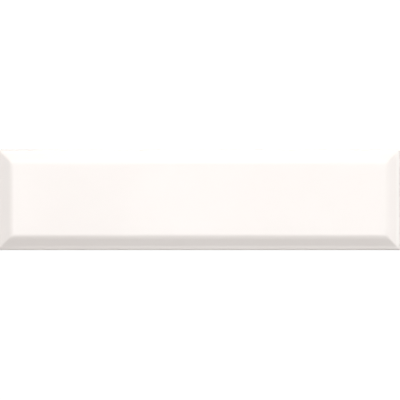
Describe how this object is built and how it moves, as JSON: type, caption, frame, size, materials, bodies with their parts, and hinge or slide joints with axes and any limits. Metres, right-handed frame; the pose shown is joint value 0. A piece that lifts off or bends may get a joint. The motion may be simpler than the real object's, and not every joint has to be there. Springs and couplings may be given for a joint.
{
  "type": "subway tile",
  "caption": "Long rectangular glazed wall tile: a flat raised table bevelled down to a thin edge all round, with a waffle back that keys into tile adhesive.",
  "frame": {"origin": "centre of the back, in the plane of the rib tops that the tile lies on", "axes": "+X along the length, +Y across the width and up in the picture, +Z out of the glazed face"},
  "size_m": [0.3, 0.075, 0.008],
  "materials": {
    "white_glaze": "gloss warm-white glaze on the face, bare biscuit on the back"
  },
  "bodies": {
    "root": {"tile": "white_glaze"}
  },
  "joints": []
}
